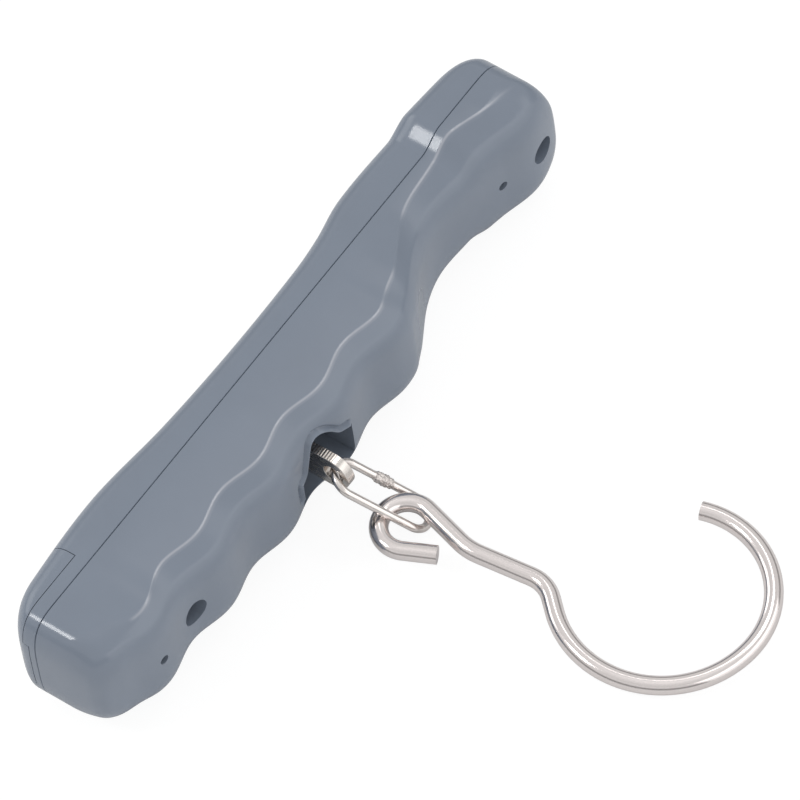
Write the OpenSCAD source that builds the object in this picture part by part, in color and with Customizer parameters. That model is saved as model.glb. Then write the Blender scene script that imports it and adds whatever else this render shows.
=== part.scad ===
// Digital luggage scale: a two-shell moulded handle with finger grooves, a bending-beam
// load cell, a stirrup plate, a welded oval link and a wire hook.
// Frame: X along the handle towards the display, Y towards the display side,
// Z up with the handle lying on its side. Origin: mid-length, on the shells' parting
// plane, on the grip's lower flat side. The widened head stands proud of that side.

/* [Handle] */
// Overall length of the handle
body_len = 148; // [140:1:180]
// How far each side of the display head flares out
head_flare = 2.6; // [0.5:0.1:3]
// Wall thickness of the two shells
wall = 2; // [1.6:0.1:2.4]
// Height of the top shell over the display
head_h = 9; // [8.8:0.1:12]
// Height of the top shell at the saddle of the grip
saddle_h = 6.6; // [6.5:0.1:8.5]
// Depth of the grip below the parting plane
grip_depth = 17.1; // [17:0.1:20]
// Depth of the index-finger recess below the parting plane
recess_depth = 8.9; // [8.7:0.1:13]
// Pitch of the four finger grooves
groove_pitch = 18.8; // [18:0.1:21]
// Half of the height difference between groove and crest
groove_amp = 0.8; // [0.3:0.05:1.2]
// Radius of the long edges of the top shell
edge_r = 4.5; // [3:0.1:5]
// Height of the tongue that locates the shells
tongue_h = 1.2; // [0.8:0.1:1.6]

/* [Battery bay] */
// Distance from the battery end to the door's front edge
door_len = 17.5; // [16:0.5:20]
// Height of the rim left below the door
door_sill = 2.9; // [2.6:0.1:3.4]
// Gap around the battery door
door_gap = 0.15; // [0.1:0.05:0.3]
// Width of the grip tab on the door's end face
door_tab_w = 12.5; // [8:0.5:15]
// Diameter of the coin cell
cell_d = 20; // [16:1:20]
// Thickness of the coin cell
cell_t = 3.2; // [2.5:0.1:3.2]
// Room between the coin cell and each side wall
side_room = 0.75; // [0.6:0.05:2]

/* [Display and buttons] */
// Length of the display window
window_len = 21; // [18:0.5:22]
// Width of the display window
window_w = 16; // [14:0.5:17]
// Thickness of the display window
window_t = 1.2; // [0.8:0.1:1.4]
// Diameter of each button
button_d = 7; // [6:0.1:7.4]
// Distance between the two buttons' centres
button_pitch = 11.2; // [10:0.1:11.4]
// Travel of each button
button_travel = 0.4; // [0.2:0.05:0.5]
// Thickness of the circuit board
board_t = 1.6; // [1:0.1:1.6]

/* [Load cell] */
// Distance of the hanger plate from the free end of the beam
hanger_inset = 6.6; // [5:0.1:8]
// Length of the load cell beam
beam_len = 47; // [46:1:52]
// Width of the load cell beam
beam_w = 10; // [8:0.5:11]
// Height of the load cell beam
beam_h = 8; // [7:0.5:8]
// Thickness of the hanger plate
plate_t = 2; // [1.5:0.1:2.5]
// Width of the hanger plate's neck
plate_w = 8.2; // [7.4:0.1:9]
// Depth of the hanger plate's hole below the parting plane
eye_depth = 20.9; // [20.5:0.1:23]
// Diameter of the hanger plate's hole
eye_d = 4.2; // [4:0.1:4.5]

/* [Link and hook] */
// Diameter of the link's wire
link_wire = 1.6; // [1.4:0.1:1.8]
// Distance between the centres of the link's legs
link_w = 7.3; // [7:0.1:8]
// Length of the link between the centres of its ends' wires
link_len = 21.2; // [20:0.1:24]
// Diameter of the hook's wire
hook_wire = 3.6; // [3:0.1:3.8]
// Radius of the hook's bend at the wire's centre
bend_r = 20.5; // [16:0.1:24]
// How much tighter the bend is towards the tip
tip_tighten = 2.4; // [0:0.1:4]
// Radius of the hook's eye at the wire's centre
hook_eye_r = 5.15; // [5:0.05:6]

/* [Screws] */
// Diameter of the deep screw holes in the underside
counterbore_d = 5.6; // [5.2:0.1:6]
// Diameter of the two small holes in the underside
pin_hole_d = 2; // [1.5:0.1:2.5]
// Thread diameter of the case screws
screw_d = 2.6; // [2.2:0.1:2.8]

/* [Hidden] */

half = body_len / 2;
left = -half;
body_w = cell_d + 2 * (side_room + wall);   // between the grip's flat side walls
mid_z = body_w / 2;
head_x = half - 41;         // where the display head begins
beam_root = head_x - 3;      // the end of the load cell that is screwed down
beam_end = beam_root - beam_len;
hanger_x = beam_end + hanger_inset;
shell_blue = [0.42, 0.49, 0.56];
steel = [0.78, 0.77, 0.75];
fit = 0.15;                 // clearance between fixed pieces that drop into each other
groove_x = hanger_x - 1.9;    // centre of the groove that the hanger comes out of

// ---- Handle form: every curve is a height or depth along x -------------------------

// Rim height of the top shell
top_points = [[left, head_h - 2.6], [left + 10, head_h - 1.1], [left + 30, head_h],
              [half - 98, saddle_h + 0.7], [half - 78, saddle_h], [half - 58, saddle_h + 0.2],
              [head_x - 9, saddle_h + 0.9], [head_x, head_h], [half - 25, head_h - 0.2],
              [half - 8, head_h - 1.4], [half, head_h - 2.3]];
// Depth of the grip along its lowest line, grooves aside
grip_points = [[left, grip_depth - 3.3], [left + 12, grip_depth + 0.3], [half - 58, grip_depth],
               [half - 53.8, grip_depth], [half - 42.5, recess_depth + 2.1],
               [half - 35, recess_depth], [half - 27, recess_depth + 0.3],
               [half - 17, recess_depth + 1.8], [half - 9, recess_depth + 3.6],
               [half, recess_depth + 2.4]];
// Depth of the crease between side wall and grip, grooves aside
crease_points = [[left, 7.5], [left + 12, 13.2], [left + 26, 12.2], [half - 60, 12.3],
                 [half - 50, 10.4], [half - 38, 4.2], [half - 28, 2.7], [half - 21, 2.3],
                 [half - 13, 4.7], [half - 5, 6.4], [half, 9.5]];

function segment(p, x) = max([for (i = [0:len(p) - 2]) if (i == 0 || x >= p[i][0]) i]);
function slope(p, i) = let(a = max(i - 1, 0), b = min(i + 1, len(p) - 1))
    (p[b][1] - p[a][1]) / (p[b][0] - p[a][0]);
function hermite(y0, y1, m0, m1, t) = (2 * pow(t, 3) - 3 * t * t + 1) * y0
    + (pow(t, 3) - 2 * t * t + t) * m0 + (3 * t * t - 2 * pow(t, 3)) * y1
    + (pow(t, 3) - t * t) * m1;
function along(p, x) = let(i = segment(p, x), d = p[i + 1][0] - p[i][0])
    hermite(p[i][1], p[i + 1][1], slope(p, i) * d, slope(p, i + 1) * d,
            min(1, max(0, (x - p[i][0]) / d)));
function smoothstep(t) = let(u = min(1, max(0, t))) u * u * (3 - 2 * u);

groove_from = left + 12;
groove_to = half - 58;
function groove_wave(x) = -cos(360 * (x - groove_x) / groove_pitch)
    * smoothstep((x - groove_from) / 8 + 1) * smoothstep((groove_to - x) / 8 + 1);
function half_width(x) = body_w / 2 + head_flare * smoothstep((x - (half - 26)) / 6);
function top_height(x) = along(top_points, x);
function grip_height(x) = along(grip_points, x) + groove_amp * groove_wave(x);
function crease_height(x) = along(crease_points, x) + groove_amp * 1.1 * groove_wave(x);
// Fullness of the grip's section: 0 at the crease, 1 on the lowest line
function crown(q) = 1 - pow(q, 5.4);

// ---- Shells: closed rings of points around the handle, one above the other ----------

cap_steps = 7;              // points in each quarter of an end
side_steps = 56;            // points along each side
left_cap = [8, 3.8];        // length and squareness of the battery end's corners
right_cap = [9, 3.0];       // the same for the display end
// Each station: distance along the handle, and share of the half width
function cap_station(a, cap) = [cap[0] * (1 - pow(cos(a), 2 / cap[1])), pow(sin(a), 2 / cap[1])];
stations = concat(
    [for (i = [0:cap_steps - 1]) let(s = cap_station(90 * i / cap_steps, left_cap))
        [left + s[0], s[1]]],
    [for (i = [0:side_steps])
        [left + left_cap[0] + (body_len - left_cap[0] - right_cap[0]) * i / side_steps, 1]],
    [for (i = [cap_steps - 1:-1:0]) let(s = cap_station(90 * i / cap_steps, right_cap))
        [half - s[0], s[1]]]);
count = len(stations);
around = 2 * count - 2;

// One ring: ends drawn in by inset_l and inset_r, sides by inset_w and scaled by q
function pulled_x(x, inset_l, inset_r) = left + inset_l
    + (x - left) * (body_len - inset_l - inset_r) / body_len;
function half_ring(inset_l, inset_r, inset_w, q) =
    [for (s = stations) let(x = pulled_x(s[0], inset_l, inset_r))
        [x, s[1] * (half_width(x) - inset_w) * q]];
function mirrored(h, heights) = concat(
    [for (i = [0:count - 1]) [h[i][0], heights[i], h[i][1]]],
    [for (i = [count - 2:-1:1]) [h[i][0], heights[i], -h[i][1]]]);

function level_ring(y, inset) = let(h = half_ring(inset, inset, inset, 1))
    mirrored(h, [for (p = h) y]);
end_pull = 7.2;              // how far the grip's ends round off
function crown_ring(v, inset) = let(
        pull = end_pull * pow(v, 1.7) + inset,
        h = half_ring(pull, pull, inset, 1 - v))
    mirrored(h, [for (p = h) let(c = crease_height(p[0]) - inset * 0.4)
        -(c + (grip_height(p[0]) - inset - c) * crown(1 - v))]);
function crease_ring(inset, back, up) =
    let(h = half_ring(inset + back, inset + back, inset + back, 1))
    mirrored(h, [for (p = h) -(crease_height(p[0]) - inset * 0.4 - up)]);
end_edge_r = 7;             // rounding of the top shell's ends
function edge_ring(a, inset) = let(
        pull = (end_edge_r - inset) * (1 - cos(a)) + inset,
        h = half_ring(pull, pull, (edge_r - inset) * (1 - cos(a)) + inset, 1))
    mirrored(h, [for (p = h) top_height(p[0]) - inset - (edge_r - inset) * (1 - sin(a))]);

// Joins rings into one closed solid whose first and last rings are closed by cross strips
module ring_solid(rings, flip) {
    n = len(rings);
    points = [for (r = rings, p = r) p];
    sides = [for (k = [0:n - 2], i = [0:around - 1])
        let(a = k * around + i, b = k * around + (i + 1) % around)
        each [[a, b, b + around], [a, b + around, a + around]]];
    function strips(base) = [for (i = [0:count - 2])
        let(a = i, b = i + 1, c = (around - i - 1) % around, d = (around - i) % around)
        i == 0 ? [base, base + b, base + c]
        : i == count - 2 ? [base + a, base + b, base + d]
        : [base + a, base + b, base + c, base + d]];
    function turned(faces) = [for (f = faces) [for (j = [len(f) - 1:-1:0]) f[j]]];
    faces = concat(sides, strips((n - 1) * around), turned(strips(0)));
    polyhedron(points, flip ? turned(faces) : faces, convexity = 8);
}

module bottom_form() {
    ring_solid(concat(
        [for (v = [0.94, 0.7, 0.45, 0.28, 0.16, 0.08, 0.03]) crown_ring(v, 0)],
        [crease_ring(0, 0, 0.7), level_ring(0, 0), level_ring(0, wall / 2),
         level_ring(tongue_h, wall / 2), level_ring(tongue_h, wall),
         crease_ring(wall, 0, 0)],
        [for (v = [0.1, 0.25, 0.5, 0.93]) crown_ring(v, wall)]), flip = true);
}

module top_form() {
    ring_solid(concat(
        [for (a = [90, 60, 30, 0]) edge_ring(a, 0)],
        [level_ring(0, 0), level_ring(0, wall / 2 - fit),
         level_ring(tongue_h + fit, wall / 2 - fit), level_ring(tongue_h + fit, wall)],
        [for (a = [0, 45, 90]) edge_ring(a, wall)]), flip = false);
}

// ---- Places inside the handle --------------------------------------------------------

contact_t = 0.3;
contact_play = 0.05;        // between the coin cell's rim and its contact
cell_x = left + wall + 0.2 + cell_d / 2;
cell_rim = cell_x + cell_d / 2;
top_boss_d = screw_d + 2.2;
case_screw_x = [cell_rim + contact_play + contact_t + fit + top_boss_d / 2, half - 6.5];
pin_hole_x = [left + 14, half - 17];
boss_meet = -2.8;           // height at which the two shells' screw bosses meet
boss_floor = 2.5;           // plastic under each screw head
boss_wall = 1.6;
head_boss_d = counterbore_d + 2 * boss_wall;
screw_play = 0.15;          // radial clearance of screws in their holes

beam_top = 0;
beam_bottom = beam_top - beam_h;
anchor_x = [beam_root - 10.5, beam_root - 3.5];
anchor_d = 3;
spacer_margin = 3.5;        // from the anchor screws' centres to the spacer's ends
spacer_t = 1.2;
seat_y = beam_bottom - spacer_t;
anchor_tip = seat_y - 2.2;

cell_y = -1;                // underside of the coin cell
tray_floor = cell_y - 1.3;
tray_h = 2.6;
contact_w = 5;

window_x = half - 31.5;
window_y = min(top_height(window_x - window_len / 2), top_height(window_x + window_len / 2))
    - window_t;
button_x = half - 13.5;
button_roof = min(top_height(button_x - button_d / 2), top_height(button_x + button_d / 2));
board_y = 0.8;              // underside of the circuit board
board_top = board_y + board_t;
board_from = head_x - 0.5;
board_to = half - 5.5;
board_w = body_w - 2 * wall - 0.6;

// Moves children to the handle's centre plane
module in_handle() translate([0, 0, mid_z]) children();
// A cylinder or bore along Y between two heights
module along_y(d, from, to, fn = 48)
    translate([0, from, 0]) rotate([-90, 0, 0]) cylinder(d = d, h = to - from, $fn = fn);
// A plate in the XZ plane with rounded corners, centred, from y = 0 up
module rounded_plate(l, w, r, h) rotate([-90, 0, 0]) linear_extrude(h) {
    square([l - 2 * r, w], center = true);
    square([l, w - 2 * r], center = true);
    for (x = [-1, 1], z = [-1, 1])
        translate([x * (l / 2 - r), z * (w / 2 - r)]) circle(r, $fn = 32);
}
module block(x, y, z) translate([x[0], y[0], z[0]])
    cube([x[1] - x[0], y[1] - y[0], z[1] - z[0]]);

// ---- Opening for the hanger ---------------------------------------------------------

mouth_x = hanger_x + 2.2;
slot_l = 17;                // length of the slot along the handle
slot_w = 6;
arch_l = 8.6;               // the oval that widens the slot's middle, along the handle
arch_w = 17.6;              // and across it
module mouth(grow, from, to) translate([mouth_x, from, 0])
    rotate([-90, 0, 0]) linear_extrude(to - from) {
        square([slot_l - slot_w, slot_w + 2 * grow], center = true);
        for (x = [-1, 1])
            translate([x * (slot_l - slot_w) / 2, 0]) circle(slot_w / 2 + grow, $fn = 32);
        scale([arch_l / 2 + grow, arch_w / 2 + grow]) circle(1, $fn = 64);
    }

mouth_depth = grip_depth - 3.6;  // how far up the collar round the opening reaches

module bottom_shell() color(shell_blue) in_handle() difference() {
    union() {
        bottom_form();
        for (x = case_screw_x)
            translate([x, 0, 0]) along_y(head_boss_d, -boss_root(x), boss_meet);
        for (x = anchor_x)
            translate([x, 0, 0]) along_y(anchor_d + 3.2, -boss_root(x), seat_y, 32);
        mouth(1.2, -mouth_depth - 1.6, -mouth_depth + 1.2);
        // ribs that the battery tray stands on
        for (x = [-6, 6])
            block([cell_x + x - 0.6, cell_x + x + 0.6], [tray_floor - 7, tray_floor],
                  [-body_w / 2 + wall / 2, body_w / 2 - wall / 2]);
    }
    for (x = case_screw_x) translate([x, 0, 0]) {
        along_y(counterbore_d, -grip_depth - 4, boss_meet - boss_floor);
        along_y(screw_d + 2 * screw_play, -grip_depth, 1);
    }
    for (x = pin_hole_x)
        translate([x, 0, 0]) along_y(pin_hole_d, -grip_depth - 4, -3, 24);
    for (x = anchor_x)
        translate([x, 0, 0]) along_y(anchor_d, anchor_tip - 0.3, seat_y + 1, 24);
    mouth(0, -grip_depth - 4, -mouth_depth + 2);
}
// Depth at which a boss on the centre line ends inside the shell's wall
function boss_root(x) = grip_height(x) - wall * 0.6;

// ---- Top shell and battery door ------------------------------------------------------

door_edge = left + door_len;
// The stretch of the top shell that the door takes up, grown by a gap
module door_zone(grow) {
    block([left - 5, door_edge + grow], [door_sill - grow, 30], [-body_w, body_w]);
    block([left - 5, left + wall * 0.55 + grow], [tongue_h + fit + 0.15 - grow, 30],
          [-door_tab_w / 2 - grow, door_tab_w / 2 + grow]);
}

module battery_door() color(shell_blue) in_handle() {
    intersection() {
        top_form();
        door_zone(0);
    }
    // latch tongue that reaches under the roof of the top shell
    block([door_edge - 3, door_edge + 2], [latch_y, latch_y + latch_t],
          [-latch_w / 2, latch_w / 2]);
    block([door_edge - 3, door_edge - 0.5], [latch_y, latch_y + latch_t + wall * 0.6],
          [-latch_w / 2, latch_w / 2]);
}
latch_t = 0.7;
latch_w = 12;
latch_y = top_height(door_edge) - wall - latch_t - 0.1;

board_screw_z = board_w / 2 - 1.45;
board_screw_at = [[half - 17.7, 0], [half - 7.8, board_screw_z], [half - 7.8, -board_screw_z]];
post_d = 4.2;
board_screw_d = 2;

module top_shell() color(shell_blue) in_handle() difference() {
    union() {
        difference() {
            top_form();
            door_zone(door_gap);
        }
        for (x = case_screw_x)
            translate([x, 0, 0]) along_y(top_boss_d, boss_meet, top_height(x) - wall / 2);
        for (p = board_screw_at)
            translate([p[0], 0, p[1]])
                along_y(post_d, board_top, top_height(p[0]) - wall / 2, 32);
    }
    for (x = case_screw_x)
        translate([x, 0, 0]) along_y(screw_d + 0.1, boss_meet - 1, screw_tip + 0.4);
    for (p = board_screw_at)
        translate([p[0], 0, p[1]]) along_y(board_screw_d + 0.1, board_top - 1, board_top + 3.2, 24);
    block([window_x - window_len / 2 - fit, window_x + window_len / 2 + fit], [window_y, 30],
          [-window_w / 2 - fit, window_w / 2 + fit]);
    block([window_x - window_len / 2 + 1.5, window_x + window_len / 2 - 1.5], [3, 30],
          [-window_w / 2 + 1.5, window_w / 2 - 1.5]);
    for (z = [-1, 1])
        translate([button_x, 0, z * button_pitch / 2])
            along_y(button_d + 2 * button_play, 4, 30);
}

// ---- Display and buttons ----------------------------------------------------------------

button_play = 0.2;
lcd_t = 1.8;
lcd_l = window_len - 3.4;
lcd_w = window_w - 1;
frame_rim = 1.1;
lcd_end = window_x + lcd_l / 2 + frame_rim;
lcd_top = min(top_height(2 * window_x - lcd_end), top_height(lcd_end)) - wall - fit;
zebra_t = 1.5;

module display_window() color([0.16, 0.18, 0.2]) in_handle()
    translate([window_x, window_y, 0]) rounded_plate(window_len, window_w, 1, window_t);

module lcd_glass() color([0.62, 0.68, 0.6]) in_handle()
    translate([window_x, lcd_top - lcd_t, 0]) rounded_plate(lcd_l, lcd_w, 0.3, lcd_t);

module lcd_frame() color([0.88, 0.88, 0.86]) in_handle() difference() {
    translate([window_x, board_top, 0])
        rounded_plate(lcd_l + 2 * frame_rim, lcd_w + 2 * frame_rim, 1,
                      lcd_top - lcd_t / 2 - board_top);
    translate([window_x, lcd_top - lcd_t, 0])
        rounded_plate(lcd_l + 0.1, lcd_w + 0.1, 0.3, lcd_t + 1);
    for (z = [-1, 1])
        translate([window_x, board_top - 1, z * (lcd_w / 2 - zebra_t / 2 - 0.4)])
            rounded_plate(lcd_l - 1.9, zebra_t + 0.1, 0.3, lcd_top - board_top);
    block([window_x - lcd_l / 2 + 1.5, window_x + lcd_l / 2 - 1.5], [board_top - 1, lcd_top],
          [-lcd_w / 2 + zebra_t + 1.4, lcd_w / 2 - zebra_t - 1.4]);
}

module zebra_strips() color([0.9, 0.5, 0.55]) in_handle()
    for (z = [-1, 1])
        translate([window_x, board_top, z * (lcd_w / 2 - zebra_t / 2 - 0.4)])
            rounded_plate(lcd_l - 2, zebra_t, 0.3, lcd_top - lcd_t - board_top);

module circuit_board() color([0.13, 0.4, 0.22]) in_handle() difference() {
    translate([(board_from + board_to) / 2, board_y, 0])
        rounded_plate(board_to - board_from, board_w, 1.5, board_t);
    translate([case_screw_x[1], 0, 0]) along_y(top_boss_d + 1, board_y - 1, board_top + 1);
    for (p = board_screw_at)
        translate([p[0], 0, p[1]]) along_y(board_screw_d + 0.3, board_y - 1, board_top + 1, 24);
}

module chip_cover() color([0.08, 0.08, 0.09]) in_handle() {
    dome_h = 1.2;
    dome_r = 3.5;
    ball_r = (dome_r * dome_r + dome_h * dome_h) / (2 * dome_h);
    intersection() {
        translate([window_x, board_y + ball_r - dome_h, 0]) sphere(ball_r, $fn = 128);
        translate([window_x, 0, 0]) along_y(4 * dome_r, board_y - 2 * dome_h, board_y, 96);
    }
}

switch_h = 1.8;
plunger_d = 3;
plunger_top = board_top + switch_h + 0.6;
flange_t = 0.7;
button_top = button_roof + 0.5;

module at_button(side) translate([button_x, 0, side * button_pitch / 2]) children();

module tact_switches() color([0.2, 0.2, 0.21]) in_handle()
    for (side = [-1, 1]) at_button(side) difference() {
        translate([0, board_top, 0]) rounded_plate(6, 6, 0.4, switch_h);
        along_y(plunger_d + 0.4, board_top + 0.3, board_top + switch_h + 1, 32);
    }

module plunger(side) color([0.9, 0.9, 0.88]) in_handle() at_button(side)
    along_y(plunger_d, board_top + 0.4 + button_travel, plunger_top, 32);
module power_plunger() plunger(-1);
module unit_plunger() plunger(1);

module button(side) color([0.35, 0.42, 0.5]) in_handle() at_button(side) {
    along_y(button_d + 1.2, plunger_top, plunger_top + flange_t);
    along_y(button_d, plunger_top, button_top - 0.5);
    translate([0, button_top - 0.5, 0]) rotate([-90, 0, 0])
        cylinder(d1 = button_d, d2 = button_d - 0.8, h = 0.5, $fn = 48);
}
module power_button() button(-1);
module unit_button() button(1);

// A pan-head screw along Y: head from `from` to `seat`, thread from there to `to`
module screw(d, head_d, from, seat, to) difference() {
    union() {
        along_y(head_d, min(from, seat), max(from, seat), 32);
        along_y(d, min(seat, to), max(seat, to), 24);
    }
    for (a = [0, 90])
        translate([0, from, 0]) rotate([0, a, 0]) cube([head_d * 0.6, 1.2, head_d * 0.14], center = true);
}

module board_screws() color(steel) in_handle()
    for (p = board_screw_at) translate([p[0], 0, p[1]])
        screw(board_screw_d, 3.6, board_y - 1.2, board_y, board_top + 3);

// ---- Load cell and hanger ---------------------------------------------------------------

groove_depth = 0.6;
beam_mid = beam_end + beam_len / 2;
beam_axis = (beam_top + beam_bottom) / 2;
flexure_d = beam_h - 2.6;
flexure_gap = 8;

module load_cell() color([0.8, 0.8, 0.82]) in_handle() difference() {
    block([beam_end, beam_end + beam_len], [beam_bottom, beam_top], [-beam_w / 2, beam_w / 2]);
    for (x = [-1, 1])
        translate([beam_mid + x * flexure_gap / 2, beam_axis, -beam_w])
            cylinder(d = flexure_d, h = 2 * beam_w, $fn = 48);
    block([beam_mid - flexure_gap / 2, beam_mid + flexure_gap / 2],
          [beam_axis - 0.8, beam_axis + 0.8], [-beam_w, beam_w]);
    block([hanger_x - plate_t / 2 - 0.05, hanger_x + plate_t / 2 + 0.05],
          [beam_top - groove_depth, beam_top + 1], [-beam_w, beam_w]);
    for (x = anchor_x)
        translate([x, 0, 0]) along_y(anchor_d + 0.3, beam_bottom - 1, beam_top + 1, 32);
}

module load_cell_spacer() color(steel) in_handle() difference() {
    translate([(anchor_x[0] + anchor_x[1]) / 2, seat_y, 0])
        rounded_plate(anchor_x[1] - anchor_x[0] + 2 * spacer_margin, beam_w, 1, spacer_t);
    for (x = anchor_x)
        translate([x, 0, 0]) along_y(anchor_d + 0.3, seat_y - 1, seat_y + spacer_t + 1, 32);
}

module load_cell_screws() color(steel) in_handle()
    for (x = anchor_x) translate([x, 0, 0])
        screw(anchor_d - 0.1, 5, beam_top + 2, beam_top, anchor_tip);

gauge_l = 5;
gauge_w = 4;
gauge_t = 0.2;
module strain_gauges() color([0.85, 0.55, 0.25]) in_handle()
    for (x = [-1, 1], y = [beam_top, beam_bottom - gauge_t])
        translate([beam_mid + x * flexure_gap / 2 - gauge_l / 2, y, -gauge_w / 2])
            cube([gauge_l, gauge_t, gauge_w]);

// A solid through rings of points, each counter-clockwise about the way that it runs
module tube(rings) {
    n = len(rings[0]);
    last = (len(rings) - 1) * n;
    polyhedron([for (r = rings, p = r) p], concat(
        [[for (k = [0:n - 1]) k], [for (k = [n - 1:-1:0]) last + k]],
        [for (i = [0:len(rings) - 2], k = [0:n - 1])
            let(a = i * n + k, b = i * n + (k + 1) % n)
            each [[a, a + n, b + n], [a, b + n, b]]]), convexity = 8);
}
function ring_about(p, u, v, r, sides) = [for (k = [0:sides - 1]) let(a = 360 * k / sides)
    p + r * (cos(a) * u + sin(a) * v)];
function unit(v) = v / norm(v);

// An insulated wire through a list of points, none of its lengths along Y
function wire_heading(p, i) = unit(unit(p[min(i + 1, len(p) - 1)] - p[min(i, len(p) - 2)])
                                   + unit(p[max(i, 1)] - p[max(i - 1, 0)]));
module wire(p, d) tube([for (i = [0:len(p) - 1])
    let(h = wire_heading(p, i), u = unit(cross(h, [0, 1, 0]))) ring_about(p[i], u, cross(h, u), d / 2, 8)]);

gauge_wire_d = 0.6;
module gauge_wires() color([0.75, 0.2, 0.15]) in_handle()
    for (i = [-1.5, -0.5, 0.5, 1.5]) {
        z = i * 0.8 + sign(i) * 2.9;
        wire([[beam_mid + flexure_gap / 2 + gauge_l / 2 + 0.4, beam_top + 0.35, i],
              [anchor_x[0] - 2.2, beam_top + 0.5, z],
              [anchor_x[1], beam_top + 0.7, z],
              [board_from - gauge_wire_d / 5, board_y + board_t / 2, z]], gauge_wire_d);
    }

plate_head_w = 15.2;
plate_bar = 3;
plate_tip = eye_depth + 3.5;
plate_neck_top = 11.7;
window_gap = 2;           // room for the beam to sink in the stirrup
seat_top = beam_top - groove_depth;

// Stirrup plate: it hangs on the beam by its window, and its neck comes out of the handle
module hanger_plate() color(steel) in_handle() {
    tip_r = plate_w / 2;
    translate([hanger_x - plate_t / 2, 0, 0]) rotate([90, 0, 90]) linear_extrude(plate_t)
    difference() {
        union() {
            translate([-plate_tip + tip_r, 0]) circle(tip_r, $fn = 64);
            translate([-plate_tip + tip_r, -plate_w / 2])
                square([plate_tip - tip_r - plate_neck_top + 1, plate_w]);
            translate([-plate_neck_top, -plate_head_w / 2])
                square([plate_neck_top + seat_top + plate_bar, plate_head_w]);
        }
        translate([beam_bottom - window_gap, -beam_w / 2 - 0.3])
            square([seat_top - beam_bottom + window_gap, beam_w + 0.6]);
        translate([-eye_depth, 0]) circle(d = eye_d, $fn = 48);
    }
}

// ---- Link and hook -----------------------------------------------------------------------

// Rest position of the link: its end lies just below the grip's flat side, and it leans
// towards the display end
floor_drop = body_w / 2 + link_wire / 2;
link_drop = asin(floor_drop / link_len);
link_turn = 24.9;
link_roll = 10.2;
eye_centre = [hanger_x, -eye_depth, 0];
link_at = eye_centre + [-0.2, 0.2, 0.1];     // the wire lies to one side of the hole
link_end = link_at + link_len
    * [sin(link_turn) * cos(link_drop), -cos(link_turn) * cos(link_drop), -sin(link_drop)];

module place_link() in_handle() translate(link_at)
    rotate([0, 0, link_turn]) rotate([link_drop, 0, 0]) rotate([0, link_roll, 0]) children();

// A wire arc in the XY plane about the origin, from angle a0 through a1 degrees
module wire_arc(r, d, a0, a1) rotate([0, 0, min(a0, a0 + a1)])
    rotate_extrude(angle = abs(a1), $fn = 96) translate([r, 0]) circle(d = d, $fn = 32);

module oval_link() color(steel) place_link() {
    r = link_w / 2;
    for (side = [-1, 1])
        translate([side * r, -r, 0]) rotate([90, 0, 0])
            cylinder(d = link_wire, h = link_len - link_w, $fn = 32);
    translate([0, -r, 0]) wire_arc(r, link_wire, 0, 180);
    translate([0, r - link_len, 0]) wire_arc(r, link_wire, 180, 180);
    // weld bead on the leg that faces the display end
    translate([r, -link_len * 0.45, 0]) rotate([90, 0, 0])
        cylinder(d = link_wire + 0.5, h = link_wire * 1.3, $fn = 32);
}

// Rest position of the hook: eye on the link's end, bend lying low
hook_turn = 16.4;
hook_slope = [2.58, -1.15];
eye_on_link = [-5.16, 0.87, 3.86];  // from the link's end to the centre of the hook's eye
hook_eye_at = link_end + eye_on_link;
module place_hook() in_handle() translate(hook_eye_at)
    rotate([hook_slope[0], 0, 0]) rotate([0, hook_slope[1], 0]) rotate([0, 0, hook_turn]) children();

// The wire's run from the open end of the eye to the tip: straight lengths as [length],
// bends as [radius, degrees], left turns positive
eye_tail = 6.6;
eye_neck = 8.9;
neck_r = 12;
shank_len = 10.7;
shoulder_r = 7;
shoulder_len = 2.9;
hook_run = [[eye_tail], [hook_eye_r, -220], [eye_neck], [neck_r, 22], [shank_len],
            [shoulder_r, -49.8], [shoulder_len], [bend_r, 125.8], [bend_r - tip_tighten, 115.2]];
tail_heading = 99.2;
bend_step = 8;              // degrees between the rings of a bend
tip_round = 0.5;

// Stations along the run, each [point, heading]
function ahead(h) = [cos(h), sin(h), 0];
function run_stations(run, i, p, h) = i == len(run) ? [[p, h]] : let(s = run[i])
    len(s) == 1 ? concat([[p, h]], run_stations(run, i + 1, p + s[0] * ahead(h), h))
    : let(side = sign(s[1]), steps = ceil(abs(s[1]) / bend_step),
          centre = p + side * s[0] * ahead(h + 90))
        concat([for (k = [0:steps - 1]) let(a = h + s[1] * k / steps)
                   [centre - side * s[0] * ahead(a + 90), a]],
               run_stations(run, i + 1, centre - side * s[0] * ahead(h + s[1] + 90), h + s[1]));

module bent_wire() {
    start = -hook_eye_r * ahead(tail_heading - 90) - eye_tail * ahead(tail_heading);
    stations = run_stations(hook_run, 0, start, tail_heading);
    n = len(stations);
    function hook_ring(i, back, shrink) = let(h = stations[i][1])
        ring_about(stations[i][0] + back * ahead(h), ahead(h + 90), [0, 0, 1],
                   hook_wire / 2 - shrink, 32);
    tube(concat([hook_ring(0, 0, tip_round), hook_ring(0, tip_round, 0)],
                [for (i = [1:n - 2]) hook_ring(i, 0, 0)],
                [hook_ring(n - 1, -tip_round, 0), hook_ring(n - 1, 0, tip_round)]));
}
module hook() color(steel) place_hook() bent_wire();

// ---- Battery bay ---------------------------------------------------------------------------

tray_l = cell_d - 0.4;        // the cell looks out at both ends
tray_w = body_w - 2 * wall - 0.3;
cell_top = cell_y + cell_t;

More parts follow.
